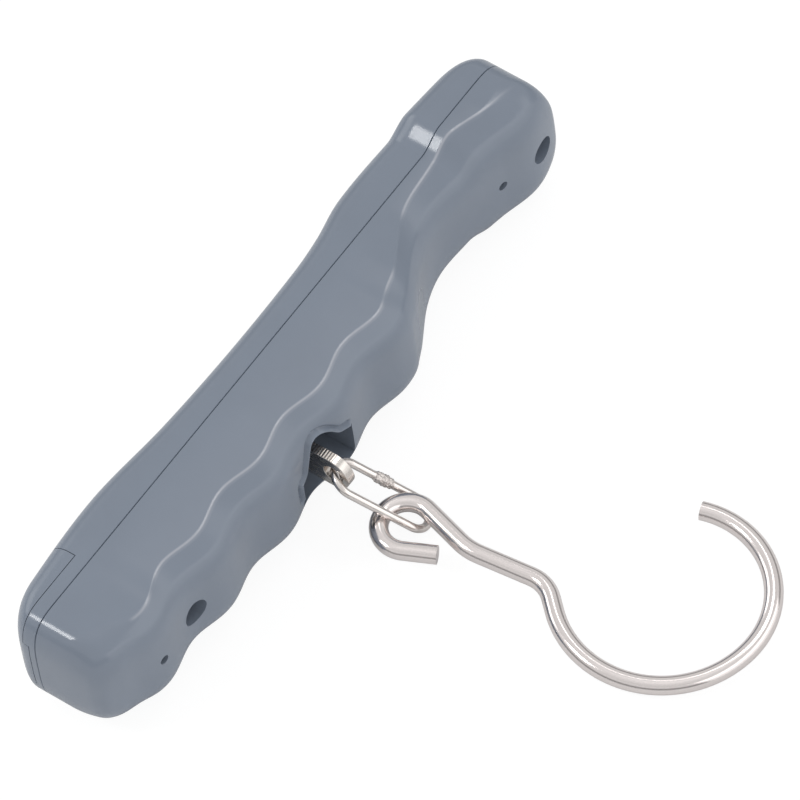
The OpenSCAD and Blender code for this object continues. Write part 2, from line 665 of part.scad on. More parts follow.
module battery_tray() color([0.2, 0.22, 0.24]) in_handle() difference() {
    translate([cell_x, tray_floor, 0])
        rounded_plate(tray_l, tray_w, 7, tray_h);
    translate([cell_x, 0, 0]) along_y(cell_d + 0.4, cell_y - contact_t, cell_top + 1);
    block([cell_rim - 1, cell_rim + 2], [tray_floor - 1, cell_top],
          [-contact_w / 2 - 0.2, contact_w / 2 + 0.2]);
}

module coin_cell() color([0.82, 0.83, 0.84]) in_handle() translate([cell_x, 0, 0]) {
    along_y(cell_d - 2.2, cell_y, cell_y + 0.3, 96);
    along_y(cell_d, cell_y + 0.3, cell_top, 96);
}

module negative_contact() color([0.85, 0.8, 0.6]) in_handle()
    translate([cell_x, cell_y - contact_t, 0]) rounded_plate(11, 7, 1, contact_t);

module positive_contact() color([0.85, 0.8, 0.6]) in_handle() {
    x = cell_rim + contact_play;
    block([x, x + contact_t], [tray_floor, cell_top + contact_t],
          [-contact_w / 2, contact_w / 2]);
    block([x - 3.5, x + contact_t], [cell_top, cell_top + contact_t],
          [-contact_w / 2, contact_w / 2]);
}

lead_d = 1;
lead_z = body_w / 2 - wall - 0.9;
module battery_wires() color([0.1, 0.1, 0.1]) in_handle()
    for (side = [-1, 1])
        wire([[cell_rim + 0.9, tray_floor + 0.6, side * 3.2],
              [cell_rim + 3, boss_meet, side * lead_z],
              [board_from + 3, boss_meet, side * lead_z],
              [board_from + 5, board_y - lead_d * 0.38, side * (lead_z - 1)]], lead_d);

// ---- Case screws ------------------------------------------------------------------------------

screw_tip = 4;
module case_screws() color(steel) in_handle()
    for (x = case_screw_x) translate([x, 0, 0])
        screw(screw_d, 5, boss_meet - boss_floor - 2.2, boss_meet - boss_floor, screw_tip);

bottom_shell();
top_shell();
battery_door();
display_window();
lcd_glass();
lcd_frame();
zebra_strips();
circuit_board();
chip_cover();
tact_switches();
power_plunger();
unit_plunger();
power_button();
unit_button();
board_screws();
load_cell();
load_cell_spacer();
load_cell_screws();
strain_gauges();
gauge_wires();
hanger_plate();
oval_link();
hook();
battery_tray();
coin_cell();
positive_contact();
negative_contact();
battery_wires();
case_screws();
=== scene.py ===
import math
from contextlib import contextmanager

import bmesh
import bpy
import numpy as np
from mathutils import Matrix, Vector, noise


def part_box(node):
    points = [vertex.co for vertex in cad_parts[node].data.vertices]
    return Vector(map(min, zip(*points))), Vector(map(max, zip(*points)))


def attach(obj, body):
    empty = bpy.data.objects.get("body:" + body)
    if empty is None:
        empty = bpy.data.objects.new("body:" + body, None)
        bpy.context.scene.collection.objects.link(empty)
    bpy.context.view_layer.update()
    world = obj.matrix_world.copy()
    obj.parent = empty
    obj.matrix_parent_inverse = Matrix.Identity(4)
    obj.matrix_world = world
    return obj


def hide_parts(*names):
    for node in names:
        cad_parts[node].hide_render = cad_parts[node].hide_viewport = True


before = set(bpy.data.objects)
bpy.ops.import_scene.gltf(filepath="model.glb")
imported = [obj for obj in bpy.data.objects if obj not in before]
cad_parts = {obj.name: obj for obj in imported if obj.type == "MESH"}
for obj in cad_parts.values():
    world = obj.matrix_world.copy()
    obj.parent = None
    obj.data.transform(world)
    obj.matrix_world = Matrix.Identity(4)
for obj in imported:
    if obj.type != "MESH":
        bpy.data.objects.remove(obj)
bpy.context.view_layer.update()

MM = 0.001


def corners(node):
    """A node's lowest and highest corner at rest, in millimetres."""
    return [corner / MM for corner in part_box(node)]


# ---- Sizes in millimetres: from the CAD nodes, or as the part's source gives them ----

shell_lo, shell_hi = corners("bottom_shell")
plate_lo, plate_hi = corners("hanger_plate")
window_lo, window_hi = corners("display_window")

HALF = shell_hi.x                       # half of the handle's length
LEFT = -HALF
MID_Z = (shell_lo.z + shell_hi.z) / 2   # the handle's centre plane
FLARE = 2.6                             # of the display head, to each side
BODY_W = shell_hi.z - shell_lo.z - 2 * FLARE
WALL = 2.0
HEAD_H, SADDLE_H = 9.0, 6.6
GRIP, RECESS = 17.1, 8.9                # depth of the grip, and of the recess under the head
PITCH, AMP = 18.8, 0.8                  # of the finger grooves
FULLNESS = 5.4                          # of the grip's section: higher is squarer
SHOULDER = 0.83                         # share of the half width where its shoulder begins
EDGE_R, END_EDGE_R = 4.5, 7.0           # of the top shell's rim, along the sides and the ends
CREASE_ROUND, END_ROUND = 0.4, 0.13     # the second as a share of the half width
CREASE_RISE = 0.4                       # of an inner ring's crease, as a share of its inset
END_PULL, PULL_POWER = 7.2, 1.7         # how the crown draws in at the ends, going down
TONGUE_H = 1.2                          # of the bottom shell's tongue, inside the top shell
SEAM = 0.14                             # half the height of the fine groove on the parting line
FIT = 0.15
HANGER_X = (plate_lo.x + plate_hi.x) / 2
GROOVE_X = HANGER_X - 1.9
HEAD_X = HALF - 41
UNDER, ABOVE = -GRIP - 4, 30            # heights clear of the handle, where cuts begin or end

TOP = [(LEFT, HEAD_H - 2.6), (LEFT + 10, HEAD_H - 1.1), (LEFT + 30, HEAD_H),
       (HALF - 98, SADDLE_H + 0.7), (HALF - 78, SADDLE_H), (HALF - 58, SADDLE_H + 0.2),
       (HEAD_X - 9, SADDLE_H + 0.9), (HEAD_X, HEAD_H), (HALF - 25, HEAD_H - 0.2),
       (HALF - 8, HEAD_H - 1.4), (HALF, HEAD_H - 2.3)]
GRIP_LINE = [(LEFT, GRIP - 3.3), (LEFT + 12, GRIP + 0.3), (HALF - 58, GRIP),
             (HALF - 53.8, GRIP), (HALF - 42.5, RECESS + 2.1), (HALF - 35, RECESS),
             (HALF - 27, RECESS + 0.3), (HALF - 17, RECESS + 1.8), (HALF - 9, RECESS + 3.6),
             (HALF, RECESS + 2.4)]
CREASE = [(LEFT, 7.5), (LEFT + 12, 13.2), (LEFT + 26, 12.2), (HALF - 60, 12.3),
          (HALF - 50, 10.4), (HALF - 38, 4.2), (HALF - 28, 2.7), (HALF - 21, 2.3),
          (HALF - 13, 4.7), (HALF - 5, 6.4), (HALF, 9.5)]


def smooth(t):
    u = np.clip(t, 0, 1)
    return u * u * (3 - 2 * u)


def along(points, x):
    """Height at x of the smooth curve through the points."""
    p = np.array(points, float)
    n = len(p)
    before, after = np.maximum(np.arange(n) - 1, 0), np.minimum(np.arange(n) + 1, n - 1)
    slope = (p[after, 1] - p[before, 1]) / (p[after, 0] - p[before, 0])
    i = np.clip(np.searchsorted(p[:, 0], x, side="right") - 1, 0, n - 2)
    d = p[i + 1, 0] - p[i, 0]
    t = np.clip((x - p[i, 0]) / d, 0, 1)
    return ((2 * t ** 3 - 3 * t * t + 1) * p[i, 1] + (t ** 3 - 2 * t * t + t) * slope[i] * d
            + (3 * t * t - 2 * t ** 3) * p[i + 1, 1] + (t ** 3 - t * t) * slope[i + 1] * d)


def wave(x):
    """The finger grooves: -1 in the middle of each and 1 between them."""
    return (-np.cos(2 * np.pi * (x - GROOVE_X) / PITCH) * smooth((x - LEFT - 12) / 8 + 1)
            * smooth((HALF - 58 - x) / 8 + 1))


def half_width(x):
    return BODY_W / 2 + FLARE * smooth((x - (HALF - 26)) / 6)


def top_y(x):
    return along(TOP, x)


def grip_y(x):
    return along(GRIP_LINE, x) + AMP * wave(x)


def crease_y(x):
    return along(CREASE, x) + 1.1 * AMP * wave(x)


# ---- Rings around the handle -----------------------------------------------------------

CAP_STEPS = 40
SIDE_STEPS = 480
LEFT_CAP, RIGHT_CAP = (8, 3.4), (9, 3.0)    # length and squareness of each end's corners


def cap(length, power):
    """Stations round one end: distance from the end, and share of the half width."""
    angles = np.linspace(0, math.pi / 2, CAP_STEPS, endpoint=False)
    return np.stack([length * (1 - np.cos(angles) ** (2 / power)),
                     np.sin(angles) ** (2 / power)], 1)


left_cap, right_cap = cap(*LEFT_CAP), cap(*RIGHT_CAP)
side = np.linspace(LEFT + LEFT_CAP[0], HALF - RIGHT_CAP[0], SIDE_STEPS + 1)
STATIONS = np.concatenate([
    np.stack([LEFT + left_cap[:, 0], left_cap[:, 1]], 1),
    np.stack([side, np.ones(len(side))], 1),
    np.stack([HALF - right_cap[::-1, 0], right_cap[::-1, 1]], 1)])


def ring(pull, inset, share, height):
    """A closed ring of points: ends drawn in by pull, sides by inset, and width times share."""
    x = LEFT + pull + (STATIONS[:, 0] - LEFT) * (2 * HALF - 2 * pull) / (2 * HALF)
    w = STATIONS[:, 1] * (half_width(x) - inset) * share
    y = height(x)
    one = np.stack([x, y, w], 1)
    other = np.stack([x, y, -w], 1)[-2:0:-1]
    return np.concatenate([one, other])


def crown(q):
    """Fullness of the grip's section: a flat shoulder next to the crease, then a full curve."""
    flat = (1 - SHOULDER ** FULLNESS) * (1 - q) / (1 - SHOULDER)
    return np.where(q < SHOULDER, 1 - q ** FULLNESS, flat)


def endness(x):
    """1 at the handle's ends and 0 along its middle."""
    return 1 - smooth((x - LEFT - 5) / 13) * smooth((HALF - 4 - x) / 10)


def crown_ring(share, inset):
    """A ring of the crown; at the ends the rings stay clear of the crease, which is round there."""
    v = share + END_ROUND * endness(STATIONS[:, 0]) * (1 - share)

    def height(x):
        c = crease_y(x) - CREASE_RISE * inset
        return -(c + (grip_y(x) - inset - c) * crown(1 - v))

    return ring(END_PULL * v ** PULL_POWER + inset, inset, 1 - v, height)


def crease_ring(inset, up=0.0):
    return ring(inset, inset, 1, lambda x: -(crease_y(x) - CREASE_RISE * inset - up))


def level_ring(y, inset):
    return ring(inset, inset, 1, lambda x: np.full_like(x, y))


def edge_ring(degrees, inset):
    """A ring of the top shell's rounded rim: 0 is its outermost line and 90 its top."""
    a = math.radians(degrees)
    r = EDGE_R - inset
    return ring((END_EDGE_R - inset) * (1 - math.cos(a)) + inset, r * (1 - math.cos(a)) + inset,
                1, lambda x: top_y(x) - inset - r * (1 - math.sin(a)))


def seam_rings(up):
    """One shell's half of the groove on the parting line; up is 1 for the top shell, or -1."""
    return [level_ring(up * SEAM, 0), level_ring(up * 0.6 * SEAM, 0.6 * SEAM),
            level_ring(up * 0.15 * SEAM, 1.7 * SEAM)]


def curve_between(p0, p1, p2, steps):
    """Rings on the soft curve from ring p0 to ring p2 that heads for p1."""
    return [(1 - t) ** 2 * p0 + 2 * t * (1 - t) * p1 + t * t * p2
            for t in np.linspace(0, 1, steps)]


# ---- Meshes ------------------------------------------------------------------------------


@contextmanager
def editing(mesh):
    """The mesh opened for a change, which is written back afterwards."""
    bm = bmesh.new()
    bm.from_mesh(mesh)
    yield bm
    bm.to_mesh(mesh)
    bm.free()


def put(name, data):
    obj = bpy.data.objects.new(name, data)
    bpy.context.scene.collection.objects.link(obj)
    return obj


def piece(name, vertices, faces):
    """An object from points in the handle's millimetres, centred on its centre plane."""
    mesh = bpy.data.meshes.new(name)
    at = (np.array(vertices, float) + [0, 0, MID_Z]) * MM
    mesh.from_pydata(at.tolist(), [], faces)
    with editing(mesh) as bm:
        bmesh.ops.recalc_face_normals(bm, faces=bm.faces)
    return put(name, mesh)


def finish_piece(obj, mat, node, body):
    """Gives a piece its material, smooth shading and body, and hides the CAD node that it stands
    for.
    """
    obj.data.materials.append(mat)
    soften(obj)
    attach(obj, body)
    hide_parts(node)


def soften(obj, degrees=32):
    """Smooth shading, with edges kept sharp where the faces turn by more than this."""
    limit = math.radians(degrees)
    with editing(obj.data) as bm:
        for f in bm.faces:
            f.smooth = True
        for e in bm.edges:
            e.smooth = len(e.link_faces) == 2 and e.calc_face_angle(0) < limit
    even = obj.modifiers.new("even_normals", "WEIGHTED_NORMAL")
    even.keep_sharp = True


def loft(name, rings):
    """A closed solid through the rings; strips across its first and last ring close it."""
    count, around = len(rings), len(rings[0])
    faces = []
    for k in range(count - 1):
        for i in range(around):
            a, b = k * around + i, k * around + (i + 1) % around
            faces.append((a, b, b + around, a + around))
    for base in (0, (count - 1) * around):
        for i in range(around // 2):
            strip = [i, i + 1, (around - i - 1) % around, (around - i) % around]
            faces.append(tuple(dict.fromkeys(base + c for c in strip)))
    return piece(name, np.concatenate(rings), faces)


def cylinder(d, y0, y1, x, z, steps=64):
    """Points and faces of a cylinder along Y."""
    turns = [2 * math.pi * k / steps for k in range(steps)]
    return prism([(x + d / 2 * math.cos(a), z + d / 2 * math.sin(a)) for a in turns], y0, y1)


def prism(outline, y0, y1):
    """Points and faces of an outline in (x, z), raised from y0 to y1."""
    n = len(outline)
    points = [(x, y, z) for y in (y0, y1) for x, z in outline]
    faces = [(i, (i + 1) % n, n + (i + 1) % n, n + i) for i in range(n)]
    return points, faces + [tuple(range(n)), tuple(n + i for i in range(n))]


def box(x0, x1, y0, y1, z0, z1):
    return prism([(x0, z0), (x1, z0), (x1, z1), (x0, z1)], y0, y1)


def joined(parts):
    """Several (points, faces) as one."""
    points, faces = [], []
    for p, f in parts:
        base = len(points)
        points += list(p)
        faces += [tuple(base + i for i in face) for face in f]
    return points, faces


def boolean(obj, parts, operation):
    """Unites obj with the parts, cuts them from it or keeps what they share, and applies it."""
    tool = piece("tool", *joined(parts))
    mod = obj.modifiers.new("tool", "BOOLEAN")
    mod.operation, mod.object, mod.solver = operation, tool, "MANIFOLD"
    bpy.context.view_layer.update()
    done = bpy.data.meshes.new_from_object(obj.evaluated_get(
        bpy.context.evaluated_depsgraph_get()))
    obj.modifiers.clear()
    done.materials.clear()
    old, obj.data = obj.data, done
    bpy.data.meshes.remove(old)
    bpy.data.objects.remove(tool)


def absorb(obj, other):
    """Adds the other object's mesh to obj's and removes the other."""
    with editing(obj.data) as bm:
        bm.from_mesh(other.data)
    bpy.data.objects.remove(other)


# ---- Materials ---------------------------------------------------------------------------

NOISE_LOW, NOISE_HIGH = 0.3, 0.7        # where most of a noise texture's values lie


def material(name, color, roughness, metallic=0.0, **sockets):
    mat = bpy.data.materials.new(name)
    mat.use_nodes = True
    values = {"Base Color": (*color, 1), "Roughness": roughness, "Metallic": metallic, **sockets}
    for key, value in values.items():
        shade(mat).inputs[key].default_value = value
    return mat


def shade(mat):
    return mat.node_tree.nodes["Principled BSDF"]


def add(owner, kind, **values):
    """A new shader node, with its settings and, with _ for a space, its inputs' values."""
    node = owner.node_tree.nodes.new("ShaderNode" + kind)
    for key, value in values.items():
        if hasattr(node, key):
            setattr(node, key, value)
        else:
            node.inputs[key.replace("_", " ")].default_value = value
    return node


def wire_up(owner, *links):
    """Joins nodes: each link is a node, its output, another node and its input."""
    for a, out, b, into in links:
        owner.node_tree.links.new(a.outputs[out], b.inputs[into])


def tint_over(mat, mixer):
    """Puts a mixing node between the shader and the colour that it has had so far."""
    tint = shade(mat).inputs["Base Color"].links[0].from_socket
    mat.node_tree.links.new(tint, mixer.inputs["Color1"])
    wire_up(mat, (mixer, "Color", shade(mat), "Base Color"))


def vary(mat, color, spread, scale, rough=(0.3, 0.4), rough_scale=400.0, stretch=(1, 1, 1),
         bump=0.0, bump_scale=2000.0, bump_size=0.00003, coords="Object"):
    """Colour that wanders a little, roughness in patches and a fine bump."""
    where = add(mat, "TexCoord")
    mapping = add(mat, "Mapping", Scale=stretch)
    patches = add(mat, "TexNoise", Scale=scale, Detail=4.0, Roughness=0.6)
    tint = add(mat, "ValToRGB")
    for stop, level, at in zip(tint.color_ramp.elements, (1 - spread, 1 + spread),
                               (NOISE_LOW, NOISE_HIGH)):
        stop.color = (*[min(1.0, c * level) for c in color], 1)
        stop.position = at
    smears = add(mat, "TexNoise", Scale=rough_scale, Detail=5.0, Roughness=0.65)
    ramp = add(mat, "MapRange", From_Min=NOISE_LOW, From_Max=NOISE_HIGH,
               To_Min=rough[0], To_Max=rough[1])
    wire_up(mat, (where, coords, mapping, "Vector"), (mapping, "Vector", patches, "Vector"),
            (patches, "Fac", tint, "Fac"), (tint, "Color", shade(mat), "Base Color"),
            (mapping, "Vector", smears, "Vector"), (smears, "Fac", ramp, "Value"),
            (ramp, "Result", shade(mat), "Roughness"))
    if bump:
        grain = add(mat, "TexNoise", Scale=bump_scale, Detail=3.0, Roughness=0.5)
        relief = add(mat, "Bump", Strength=bump, Distance=bump_size)
        wire_up(mat, (mapping, "Vector", grain, "Vector"), (grain, "Fac", relief, "Height"),
                (relief, "Normal", shade(mat), "Normal"))
    return mat


def metal(name, color, rough, streak=(1, 1, 1), scale=300.0, bump=0.15, coords="Object"):
    return vary(material(name, color, sum(rough) / 2, metallic=1.0), color, 0.06, scale,
                rough=rough, rough_scale=scale * 2, stretch=streak, bump=bump,
                bump_scale=scale * 4, coords=coords)


def moulded(name, color, rough=(0.4, 0.55), bump=0.2):
    return vary(material(name, color, rough[0]), color, 0.05, 200.0, rough=rough, bump=bump)


SHELL_BLUE = (0.203, 0.237, 0.292)
shell = vary(material("shell_plastic", SHELL_BLUE, 0.34, **{"Specular IOR Level": 0.5}),
             SHELL_BLUE, 0.035, 45.0, rough=(0.15, 0.21), rough_scale=90.0,
             bump=0.05, bump_scale=900.0, bump_size=0.00002)
# A painted highlight: where the attribute marks the crease, the plastic is painted lighter, as a
# line of light along it
crease = add(shell, "Attribute", attribute_name="crease")
painted_crease_highlight = add(shell, "MixRGB", Color2=(0.38, 0.4, 0.45, 1))
wire_up(shell, (crease, "Fac", painted_crease_highlight, "Fac"))
tint_over(shell, painted_crease_highlight)

nickel = metal("bright_nickel", (0.8, 0.745, 0.728), (0.1, 0.2), streak=(0.05, 1, 1),
               scale=60.0, bump=0.1, coords="UV")
link_nickel = metal("link_nickel", (0.78, 0.73, 0.7), (0.14, 0.26), scale=500.0, bump=0.25)
WELD_GREY = (0.74, 0.69, 0.66)
weld_metal = vary(material("weld_metal", WELD_GREY, 0.35, metallic=1.0), WELD_GREY, 0.25, 2200.0,
                  rough=(0.18, 0.5), rough_scale=3000.0, bump=1.0, bump_scale=4200.0,
                  bump_size=0.00009)

plate_steel = metal("stamped_steel", (0.72, 0.68, 0.64), (0.2, 0.3), streak=(1, 0.25, 1),
                    scale=900.0, bump=0)
# Shear marks across the plate's sheared edges, which face away from X, but not round its tip
MARKS_FROM = plate_lo.y + 3.4
EDGE_FACING = 0.4                       # how far at most a sheared edge's normal leans to X
where = add(plate_steel, "TexCoord")
marks = add(plate_steel, "TexWave", bands_direction="Y", Scale=560.0, Distortion=2.5,
            Detail=2.0, Detail_Scale=0.4)
facing = add(plate_steel, "SeparateXYZ")
lean = add(plate_steel, "Math", operation="ABSOLUTE")
on_edge = add(plate_steel, "Math", operation="LESS_THAN")
on_edge.inputs[1].default_value = EDGE_FACING
place = add(plate_steel, "SeparateXYZ")
above_tip = add(plate_steel, "Math", operation="GREATER_THAN")
above_tip.inputs[1].default_value = MARKS_FROM * MM
on_neck = add(plate_steel, "Math", operation="MULTIPLY")
depth = add(plate_steel, "Math", operation="MULTIPLY")
cut = add(plate_steel, "Bump", Strength=0.5, Distance=0.00004)
shade_marks = add(plate_steel, "MixRGB", blend_type="MULTIPLY", Color2=(0.5, 0.46, 0.44, 1))
wire_up(plate_steel, (where, "Object", marks, "Vector"), (where, "Normal", facing, "Vector"),
        (where, "Object", place, "Vector"), (facing, "X", lean, 0), (lean, 0, on_edge, 0),
        (place, "Y", above_tip, 0), (on_edge, 0, on_neck, 0), (above_tip, 0, on_neck, 1),
        (on_neck, 0, depth, 0), (marks, "Fac", depth, 1), (depth, 0, cut, "Height"),
        (cut, "Normal", shade(plate_steel), "Normal"), (depth, 0, shade_marks, "Fac"))
tint_over(plate_steel, shade_marks)

zinc = metal("zinc_plated", (0.6, 0.6, 0.62), (0.25, 0.4), scale=900.0)
aluminium = metal("milled_aluminium", (0.72, 0.73, 0.74), (0.28, 0.42), streak=(0.2, 1, 1),
                  scale=900.0, bump=0.3)
cell_steel = metal("cell_can", (0.68, 0.68, 0.69), (0.2, 0.32), streak=(1, 0.3, 1), scale=700.0)
bronze = metal("contact_bronze", (0.7, 0.6, 0.38), (0.2, 0.35), scale=900.0)
black_plastic = moulded("black_plastic", (0.02, 0.02, 0.022))
white_plastic = moulded("white_plastic", (0.72, 0.72, 0.69))
pink_rubber = moulded("pink_rubber", (0.62, 0.24, 0.27), rough=(0.6, 0.75))
board_green = moulded("solder_mask", (0.015, 0.09, 0.04), rough=(0.2, 0.35))
black_resin = moulded("black_resin", (0.01, 0.01, 0.011), rough=(0.08, 0.2))
button_blue = moulded("button_plastic", (0.085, 0.125, 0.17), rough=(0.28, 0.38), bump=0.15)
gauge_foil = moulded("gauge_foil", (0.5, 0.22, 0.05), rough=(0.2, 0.35))
red_wire = moulded("red_insulation", (0.4, 0.02, 0.015))
black_wire = moulded("black_insulation", (0.012, 0.012, 0.012))
LCD_GREY = (0.26, 0.3, 0.24)
lcd_grey = vary(material("lcd_cell", LCD_GREY, 0.12, **{"Coat Weight": 0.6}),
                LCD_GREY, 0.03, 150.0, rough=(0.1, 0.16))
clear = material("clear_window", (0.92, 0.95, 0.95), 0.04,
                 **{"Transmission Weight": 1.0, "IOR": 1.49})

for node, mat in {
        "display_window": clear, "lcd_glass": lcd_grey, "lcd_frame": white_plastic,
        "zebra_strips": pink_rubber, "circuit_board": board_green, "chip_cover": black_resin,
        "tact_switches": black_plastic, "power_plunger": white_plastic,
        "unit_plunger": white_plastic, "power_button": button_blue, "unit_button": button_blue,
        "board_screws": zinc, "load_cell": aluminium, "load_cell_spacer": zinc,
        "load_cell_screws": zinc, "strain_gauges": gauge_foil, "gauge_wires": red_wire,
        "battery_tray": black_plastic, "coin_cell": cell_steel, "positive_contact": bronze,
        "negative_contact": bronze, "battery_wires": black_wire, "case_screws": zinc}.items():
    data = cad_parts[node].data
    data.materials.clear()
    data.materials.append(mat)


# ---- Bottom shell --------------------------------------------------------------------------

BOSS_MEET, BOSS_FLOOR, BOSS_WALL = -2.8, 2.5, 1.6
COUNTERBORE_D, PIN_HOLE_D, SCREW_D = 5.6, 2.0, 2.6
HEAD_BOSS_D = COUNTERBORE_D + 2 * BOSS_WALL
TOP_BOSS_D = SCREW_D + 2.2
SCREW_TIP = 4.0
cell_lo, cell_hi = corners("coin_cell")
cell_x = (cell_lo.x + cell_hi.x) / 2
CASE_SCREW_X = (cell_hi.x + 0.5 + TOP_BOSS_D / 2, HALF - 6.5)
PIN_HOLE_X = (LEFT + 14, HALF - 17)
ANCHOR_X, ANCHOR_D, ANCHOR_BOSS_D, SEAT_Y = (HEAD_X - 13.5, HEAD_X - 6.5), 3.0, 6.2, -9.2
TRAY_RIBS, RIB_H = (-6, 6), 7           # their places about the cell's middle, and their height
# The opening's rim towards the camera, as (x, z), and its straight rim on the other side
NEAR_RIM = [(-16.5, 0.3), (-14.4, 1.0), (-13.2, 3.6), (-12.0, 6.4), (-10.6, 7.5), (-8.8, 7.4),
            (-7.0, 6.2), (-5.3, 4.1), (-3.6, 3.2), (-2.0, 2.2), (-1.3, 1.6)]
FAR_RIM = -8.1
MOUTH_FROM, MOUTH_TO = NEAR_RIM[0][0], NEAR_RIM[-1][0]
MOUTH_DEPTH = GRIP - 3.6
MOUTH_WALL = 1.2                        # of the collar that stands round the opening, inside
LIP_H, LIP_W, LIP_FADE = 0.55, 0.15, 0.2
DIP, DIP_AT, DIP_W = 0.55, 0.75, 0.33   # depth, distance from the rim and width of the groove


def opening(grow, steps=72):
    """Outline of the hanger's opening: an arch towards the camera between two short shoulders."""
    x = np.linspace(MOUTH_FROM, MOUTH_TO, steps)
    z = along(NEAR_RIM, x)
    rise = np.gradient(z, x)
    out = np.stack([-rise, np.ones(steps)], 1) / np.hypot(rise, 1)[:, None]
    near = np.stack([x, z], 1) + grow * out
    near[0, 0], near[-1, 0] = x[0] - grow, x[-1] + grow
    return ([(near[0, 0], FAR_RIM - grow), (near[-1, 0], FAR_RIM - grow)]
            + [tuple(p) for p in near[::-1]])


def distance_to_rim(x, z):
    """How far each point lies from the rim, its far side left out; negative in the opening."""
    rim = np.array(opening(0)[2:] + [(MOUTH_FROM, FAR_RIM)])
    a, b = rim[:-1], rim[1:]
    p = np.stack([x, z], 1)[:, None, :]
    run = b - a
    t = np.clip(((p - a) * run).sum(2) / (run ** 2).sum(1), 0, 1)
    far = np.sqrt((((a + t[..., None] * run) - p) ** 2).sum(2)).min(1)
    inside = (x > MOUTH_FROM) & (x < MOUTH_TO) & (z > FAR_RIM) & (z < along(NEAR_RIM, x))
    return np.where(inside, -far, far)


def lip(points):
    """Raises a rounded lip along the opening's rim, with a shallow dip outside it."""
    p = points.copy()
    x, z = p[:, 0], p[:, 2]
    d = distance_to_rim(x, z)
    rise = LIP_H * np.exp(-(np.maximum(d - LIP_W, 0) / LIP_FADE) ** 2)
    dip = DIP * np.exp(-((d - DIP_AT) / DIP_W) ** 2)
    ends = smooth((z + 6.5) / 3) * smooth((MOUTH_TO - x) / 0.9)     # it fades out at both ends
    p[:, 1] -= (rise - dip) * ends
    return p


# The outside, from beside the centre plane to the crease: how far in from the side each ring
# lies, as a share of the half width
CROWN_STEPS, CREASE_STEPS = ((36, 20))
shares = np.concatenate([np.linspace(0.985, 0.4, CROWN_STEPS, endpoint=False),
                         np.linspace(0.4, 0.014, CREASE_STEPS)])
outer = [lip(crown_ring(v, 0)) for v in shares]
round_up = CREASE_ROUND + 2 * endness(STATIONS[:, 0])
outer += curve_between(outer[-1], crease_ring(0), crease_ring(0, round_up), 10)[1:]
tongue = [level_ring(0, WALL / 2), level_ring(TONGUE_H, WALL / 2), level_ring(TONGUE_H, WALL)]
inner = [crown_ring(v, WALL) for v in (0.1, 0.22, 0.36, 0.5, 0.64, 0.78, 0.88, 0.95)]
grip_shell = loft("grip_shell", outer + seam_rings(-1) + tongue + [crease_ring(WALL)] + inner)


def boss_root(x, diameter):
    """Depth of a boss's root, inside the wall over the whole boss."""
    over = np.linspace(x - diameter / 2, x + diameter / 2, 9)
    return float(grip_y(over).min()) - WALL * 0.6


tray_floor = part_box("battery_tray")[0].y / MM
bosses = [cylinder(HEAD_BOSS_D, -boss_root(x, HEAD_BOSS_D), BOSS_MEET, x, 0)
          for x in CASE_SCREW_X]
bosses += [cylinder(ANCHOR_BOSS_D, -boss_root(x, ANCHOR_BOSS_D), SEAT_Y, x, 0, 32)
           for x in ANCHOR_X]
bosses.append(prism(opening(MOUTH_WALL), -MOUTH_DEPTH - 1.6, -MOUTH_DEPTH + 1.2))
bosses += [box(cell_x + x - 0.6, cell_x + x + 0.6, tray_floor - RIB_H, tray_floor,
               -BODY_W / 2 + WALL / 2, BODY_W / 2 - WALL / 2) for x in TRAY_RIBS]
# The opening's walls run deep into the handle, so that no edge of the shell shows through it
deep_walls = box(MOUTH_FROM - MOUTH_WALL, MOUTH_TO + MOUTH_WALL, -MOUTH_DEPTH - 1.6, -8.2,
                 FAR_RIM - 1.1, 2.8)
beside_plate = [p for p in opening(MOUTH_WALL)[1:] if p[0] > HANGER_X + 3]
end_wall = prism(beside_plate + [(HANGER_X + 3, FAR_RIM)], -MOUTH_DEPTH - 2.6, -8.3)
for parts in (bosses, [deep_walls], [end_wall]):
    boolean(grip_shell, parts, "UNION")
holes = [cylinder(COUNTERBORE_D, UNDER, BOSS_MEET - BOSS_FLOOR, x, 0) for x in CASE_SCREW_X]
holes += [cylinder(PIN_HOLE_D, UNDER, -3, x, 0, 32) for x in PIN_HOLE_X]
holes += [cylinder(ANCHOR_D, SEAT_Y - 2.5, SEAT_Y + 1, x, 0, 32) for x in ANCHOR_X]
holes.append(prism(opening(0), UNDER, -7.6))
screw_holes = [cylinder(SCREW_D + 0.3, -GRIP, 1, x, 0, 32) for x in CASE_SCREW_X]
for parts in (holes, screw_holes):
    boolean(grip_shell, parts, "DIFFERENCE")

SPAN = np.linspace(LEFT, HALF, 400)
CREASE_W = 0.27


def mark_crease_highlight(mesh):
    """Writes an attribute, 1 along the crease and 0 away from it, which the shell's material uses
    to paint a highlight there.
    """
    p = np.empty(len(mesh.vertices) * 3)
    mesh.vertices.foreach_get("co", p)
    p = p.reshape(-1, 3) / MM - [0, 0, MID_Z]
    off = np.abs(p[:, 1] + crease_y(p[:, 0])) / CREASE_W
    outside = np.abs(p[:, 2]) > half_width(p[:, 0]) * 0.9
    # The painted highlight fades out at the ends and where the crease runs steeply
    steep = smooth((np.abs(np.gradient(crease_y(SPAN), SPAN)) - 0.3) / 0.2)
    shine = (1 - endness(p[:, 0])) * (1 - np.interp(p[:, 0], SPAN, steep))
    value = np.where(outside, np.exp(-off ** 2) * shine, 0)
    mesh.attributes.new("crease", "FLOAT", "POINT").data.foreach_set("value", value)


mark_crease_highlight(grip_shell.data)
finish_piece(grip_shell, shell, "bottom_shell", "handle")


# ---- Top shell and battery door ---------------------------------------------------------------

EDGE_STEPS = 15
DOOR_EDGE, DOOR_SILL, DOOR_GAP, TAB_W = LEFT + 17.5, 2.9, 0.15, 12.5
LATCH_T, LATCH_W = 0.7, 12.0
BOARD_BOSS_D, BUTTON_HOLE_D = 4.2, 7.4
WINDOW_R, WINDOW_LEDGE = 1, 1.5         # its corner, and the ledge that carries the window


